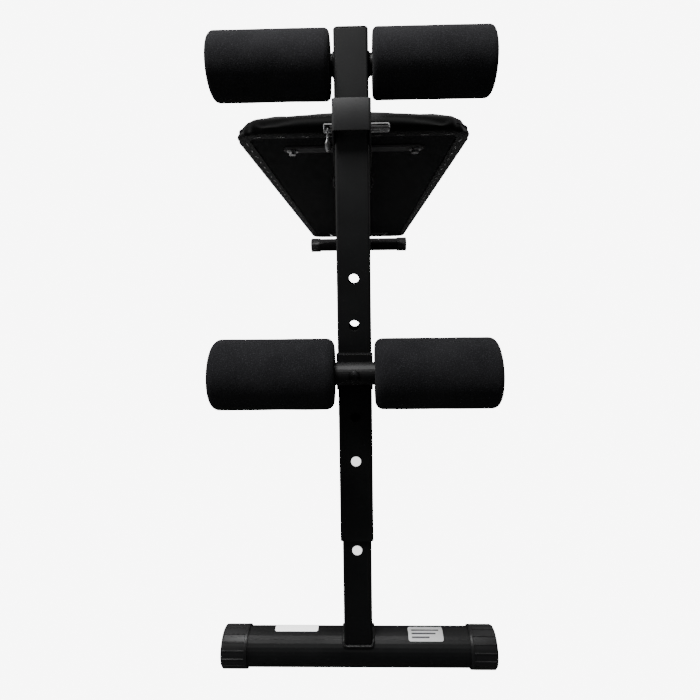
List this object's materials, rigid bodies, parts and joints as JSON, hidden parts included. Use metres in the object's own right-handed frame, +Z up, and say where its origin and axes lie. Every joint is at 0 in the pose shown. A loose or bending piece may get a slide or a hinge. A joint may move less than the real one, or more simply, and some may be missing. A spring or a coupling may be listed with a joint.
{
  "type": "decline sit up bench",
  "caption": "Folding decline sit-up bench: padded sloping board on a beam, leaning front post with foam leg rollers, ribbed feet.",
  "frame": {"origin": "on the floor, midway between the front and rear feet", "axes": "+X to the right seen from the foot rollers, +Y along the board towards the rear foot, +Z up"},
  "size_m": [0.341, 1.3954, 0.7239],
  "materials": {
    "frame_paint": "satin black powder coat",
    "zinc": "bright zinc plate",
    "black_steel": "black oxide",
    "foam": "matte black closed-cell foam",
    "plastic": "moulded black plastic",
    "vinyl": "semi-gloss black vinyl with a light grain",
    "board": "plywood under black backing cloth",
    "white_plastic": "white plastic"
  },
  "bodies": {
    "post": {"post_tube": "frame_paint", "post_cap": "plastic", "post_hole_plug": "white_plastic", "leg_guide_bush": "plastic", "plunger_barrel": "frame_paint", "plunger_spring": "zinc", "upper_cross_tube": "frame_paint", "upper_tube_plug_left": "plastic", "upper_tube_plug_right": "plastic", "lower_cross_tube": "frame_paint", "lower_tube_plug_left": "plastic", "lower_tube_plug_right": "plastic", "roller_saddle": "frame_paint", "saddle_bolt": "black_steel", "saddle_nut": "zinc", "hinge_bracket": "frame_paint", "pivot_pin": "black_steel", "pivot_cap": "black_steel"},
    "leg": {"leg_tube": "frame_paint", "leg_hole_plug": "white_plastic", "front_foot_tube": "frame_paint", "front_foot_cap_left": "plastic", "front_foot_cap_right": "plastic"},
    "plunger": {"adjust_plunger": "black_steel"},
    "upper_roller_left": {"upper_foam_left": "foam"},
    "upper_roller_right": {"upper_foam_right": "foam"},
    "lower_roller_left": {"lower_foam_left": "foam"},
    "lower_roller_right": {"lower_foam_right": "foam"},
    "lock": {"lock_pin": "zinc"},
    "ring": {"lock_pin_ring": "zinc"},
    "board": {"beam_cheek_left": "frame_paint", "beam_cheek_right": "frame_paint", "beam_tube": "frame_paint", "rear_foot_tube": "frame_paint", "rear_foot_cap_left": "plastic", "rear_foot_cap_right": "plastic", "front_cross_bar": "frame_paint", "rear_cross_bar": "frame_paint", "board_ply": "board", "cushion": "vinyl", "front_screw_left": "zinc", "front_screw_right": "zinc", "rear_screw_left": "zinc", "rear_screw_right": "zinc", "front_washer_left": "zinc", "front_washer_right": "zinc", "rear_washer_left": "zinc", "rear_washer_right": "zinc"}
  },
  "joints": [
    {"name": "board_fold", "type": "hinge", "parent": "post", "child": "board", "pos_m": [0, -0.4052, 0.54684], "axis": [-1, 0, 0], "range_deg": [0, 80]},
    {"name": "leg_extend", "type": "slide", "parent": "post", "child": "leg", "axis": [0, -0.3923, -0.9198], "range_m": [0, 0.109]},
    {"name": "plunger_push", "type": "slide", "parent": "post", "child": "plunger", "axis": [0, -0.9198, 0.3923], "range_m": [0, 0.009]},
    {"name": "lock_pin_pull", "type": "slide", "parent": "post", "child": "lock", "axis": [-1, 0, 0], "range_m": [0, 0.075]},
    {"name": "ring_swing", "type": "hinge", "parent": "lock", "child": "ring", "pos_m": [-0.0305, -0.38751, 0.60996], "axis": [0, 0.9198, -0.3923], "range_deg": [-8, 50]},
    {"name": "upper_roller_left_spin", "type": "hinge", "parent": "post", "child": "upper_roller_left", "pos_m": [0, -0.39283, 0.68289], "axis": [1, 0, 0], "continuous": true},
    {"name": "upper_roller_right_spin", "type": "hinge", "parent": "post", "child": "upper_roller_right", "pos_m": [0, -0.39283, 0.68289], "axis": [1, 0, 0], "continuous": true},
    {"name": "lower_roller_left_spin", "type": "hinge", "parent": "post", "child": "lower_roller_left", "pos_m": [0, -0.56917, 0.36836], "axis": [1, 0, 0], "continuous": true},
    {"name": "lower_roller_right_spin", "type": "hinge", "parent": "post", "child": "lower_roller_right", "pos_m": [0, -0.56917, 0.36836], "axis": [1, 0, 0], "continuous": true}
  ]
}
